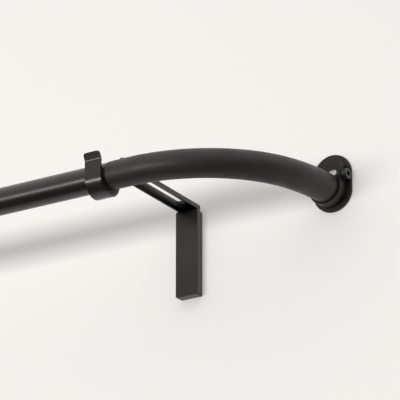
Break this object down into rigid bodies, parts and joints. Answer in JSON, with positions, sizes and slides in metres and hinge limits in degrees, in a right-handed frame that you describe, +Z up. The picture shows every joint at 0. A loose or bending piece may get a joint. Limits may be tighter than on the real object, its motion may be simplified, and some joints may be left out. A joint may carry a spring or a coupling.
{
  "type": "curtain rod",
  "caption": "Extendable curtain rod with return bends to the wall, slotted wall brackets with hook holders, and clamped wall sockets.",
  "frame": {"origin": "middle of the right-hand bracket's two screw holes, on the wall face", "axes": "+X along the wall towards the right-hand wall socket, +Y into the wall, +Z up; the rod axis is parallel to X"},
  "size_m": [1.2436, 0.1704, 0.1096],
  "materials": {
    "painted_steel": "satin dark bronze-black powder coat, fine texture",
    "satin_lacquered_steel": "semi-gloss bronze-black lacquer on strap steel",
    "glossy_lacquered_tube": "glossy bronze-black lacquer on drawn tube",
    "matte_connector": "matt black coat, soft sheen",
    "painted_casting": "satin black coat",
    "black_plastic": "moulded black plastic, matt",
    "blackened_screw": "blackened steel fasteners"
  },
  "bodies": {
    "fixed_half": {"wall_plate_right": "painted_steel", "bracket_arm_right": "painted_steel", "rod_holder_right": "satin_lacquered_steel", "holder_liner_right": "black_plastic", "holder_nut_right": "blackened_screw", "wall_flange_right": "painted_casting", "rod_cradle_right": "painted_casting", "cradle_liner_right": "black_plastic", "curved_connector_right": "matte_connector", "connector_plug_right": "black_plastic", "rod_tube_right": "glossy_lacquered_tube", "mouth_bush_right": "black_plastic", "inner_tube": "glossy_lacquered_tube", "inner_guide_right": "black_plastic", "inner_guide_left": "black_plastic"},
    "sliding_half": {"wall_plate_left": "painted_steel", "bracket_arm_left": "painted_steel", "rod_holder_left": "satin_lacquered_steel", "holder_liner_left": "black_plastic", "holder_nut_left": "blackened_screw", "wall_flange_left": "painted_casting", "rod_cradle_left": "painted_casting", "cradle_liner_left": "black_plastic", "curved_connector_left": "matte_connector", "connector_plug_left": "black_plastic", "rod_tube_left": "glossy_lacquered_tube", "mouth_bush_left": "black_plastic"},
    "cover_right": {"leg_cover_right": "painted_steel"},
    "clamp_tip_right": {"clamp_pad_right": "black_plastic"},
    "clamp_bolt_right": {"clamp_screw_right": "blackened_screw"},
    "washer_right": {"holder_washer_right": "blackened_screw"},
    "holder_bolt_right": {"holder_screw_right": "blackened_screw"},
    "cover_left": {"leg_cover_left": "painted_steel"},
    "clamp_tip_left": {"clamp_pad_left": "black_plastic"},
    "clamp_bolt_left": {"clamp_screw_left": "blackened_screw"},
    "washer_left": {"holder_washer_left": "blackened_screw"},
    "holder_bolt_left": {"holder_screw_left": "blackened_screw"}
  },
  "joints": [
    {"name": "rod_extension", "type": "slide", "parent": "fixed_half", "child": "sliding_half", "axis": [-1, 0, 0], "range_m": [-0.1, 0.15]},
    {"name": "cover_pull_right", "type": "slide", "parent": "fixed_half", "child": "cover_right", "axis": [0, -1, 0], "range_m": [0, 0.012]},
    {"name": "clamp_travel_right", "type": "slide", "parent": "fixed_half", "child": "clamp_tip_right", "axis": [1, 0, 0], "range_m": [0, 0.003]},
    {"name": "clamp_turn_right", "type": "hinge", "parent": "clamp_tip_right", "child": "clamp_bolt_right", "pos_m": [0.17, -0.008, 0.04366], "axis": [1, 0, 0], "range_deg": [0, 1080]},
    {"name": "washer_drop_right", "type": "slide", "parent": "fixed_half", "child": "washer_right", "axis": [0, 0, -1], "range_m": [0, 0.002]},
    {"name": "holder_screw_turn_right", "type": "hinge", "parent": "washer_right", "child": "holder_bolt_right", "pos_m": [0, -0.1183, 0.0436], "axis": [0, 0, -1], "range_deg": [0, 720]},
    {"name": "cover_pull_left", "type": "slide", "parent": "sliding_half", "child": "cover_left", "axis": [0, -1, 0], "range_m": [0, 0.012]},
    {"name": "clamp_travel_left", "type": "slide", "parent": "sliding_half", "child": "clamp_tip_left", "axis": [-1, 0, 0], "range_m": [0, 0.003]},
    {"name": "clamp_turn_left", "type": "hinge", "parent": "clamp_tip_left", "child": "clamp_bolt_left", "pos_m": [-1.07, -0.008, 0.04366], "axis": [-1, 0, 0], "range_deg": [0, 1080]},
    {"name": "washer_drop_left", "type": "slide", "parent": "sliding_half", "child": "washer_left", "axis": [0, 0, -1], "range_m": [0, 0.002]},
    {"name": "holder_screw_turn_left", "type": "hinge", "parent": "washer_left", "child": "holder_bolt_left", "pos_m": [-0.9, -0.1183, 0.0436], "axis": [0, 0, -1], "range_deg": [0, 720]}
  ],
  "couplings": [
    {"joint": "clamp_turn_right", "follows": "clamp_travel_right", "rad_per_m": 6283.2},
    {"joint": "holder_screw_turn_right", "follows": "washer_drop_right", "rad_per_m": 6283.2},
    {"joint": "clamp_turn_left", "follows": "clamp_travel_left", "rad_per_m": 6283.2},
    {"joint": "holder_screw_turn_left", "follows": "washer_drop_left", "rad_per_m": 6283.2}
  ]
}
